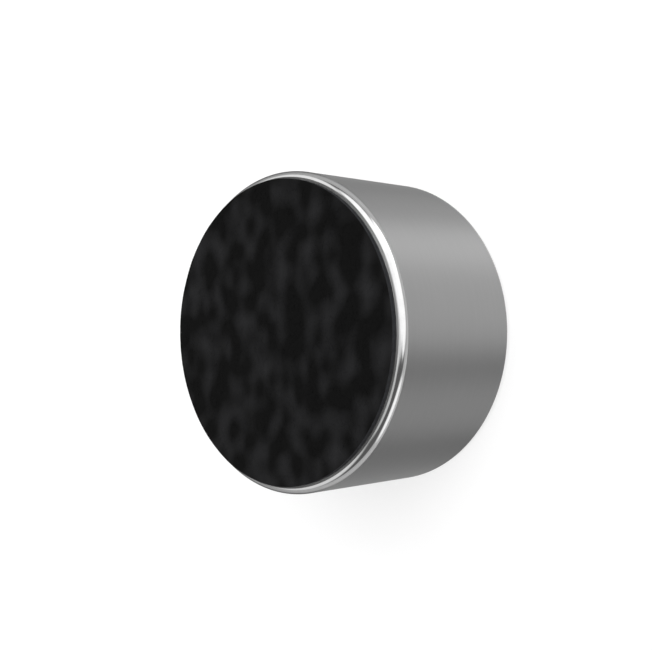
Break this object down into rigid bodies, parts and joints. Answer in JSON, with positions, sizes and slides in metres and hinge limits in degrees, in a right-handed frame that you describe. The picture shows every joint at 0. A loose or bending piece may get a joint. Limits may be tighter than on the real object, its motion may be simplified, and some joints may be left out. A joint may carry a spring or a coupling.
{
  "type": "electret microphone capsule",
  "caption": "Round electret microphone capsule: drawn aluminium can, felt dust cover over the sound ports, charged-film pickup stack inside, crimped-in board with rear solder terminals.",
  "frame": {"origin": "centre of the crimped rear face, which the capsule stands on", "axes": "+Z along the axis from the rear seat towards the felt; the output terminal lies at -X and the ground terminal at +X"},
  "size_m": [0.0098, 0.0096, 0.0052],
  "materials": {
    "can_aluminium": "drawn and tumbled, satin",
    "felt": "pressed non-woven felt, matt black",
    "adhesive": "dark acrylic transfer tape",
    "ring_brass": "turned",
    "metallised_film": "polyester film with a thin metal coat",
    "spacer_film": "die-cut polyester",
    "charged_film": "clear fluoropolymer film",
    "plate_brass": "punched sheet",
    "holder_plastic": "injection moulded",
    "contact_brass": "drawn tube",
    "laminate": "glass-epoxy laminate with green solder resist",
    "copper": "etched copper with a thin gold flash",
    "solder": "reflowed tin solder",
    "moulding_epoxy": "transfer moulded, unmarked",
    "tinned_lead": "matt tin plate",
    "chip_ceramic": "sintered, unglazed"
  },
  "bodies": {
    "root": {"can": "can_aluminium", "dust_felt": "felt", "felt_adhesive": "adhesive", "diaphragm_ring": "ring_brass", "diaphragm": "metallised_film", "spacer_ring": "spacer_film", "electret_film": "charged_film", "back_plate": "plate_brass", "insulating_holder": "holder_plastic", "gate_contact_ring": "contact_brass", "circuit_board": "laminate", "gate_track": "copper", "output_track": "copper", "ground_track": "copper", "output_solder": "solder", "ground_solder": "solder", "transistor_body": "moulding_epoxy", "gate_lead": "tinned_lead", "drain_lead": "tinned_lead", "source_lead": "tinned_lead", "bypass_capacitor_near": "chip_ceramic", "bypass_capacitor_near_caps": "tinned_lead", "bypass_capacitor_far": "chip_ceramic", "bypass_capacitor_far_caps": "tinned_lead", "component_solder": "solder"}
  },
  "joints": []
}
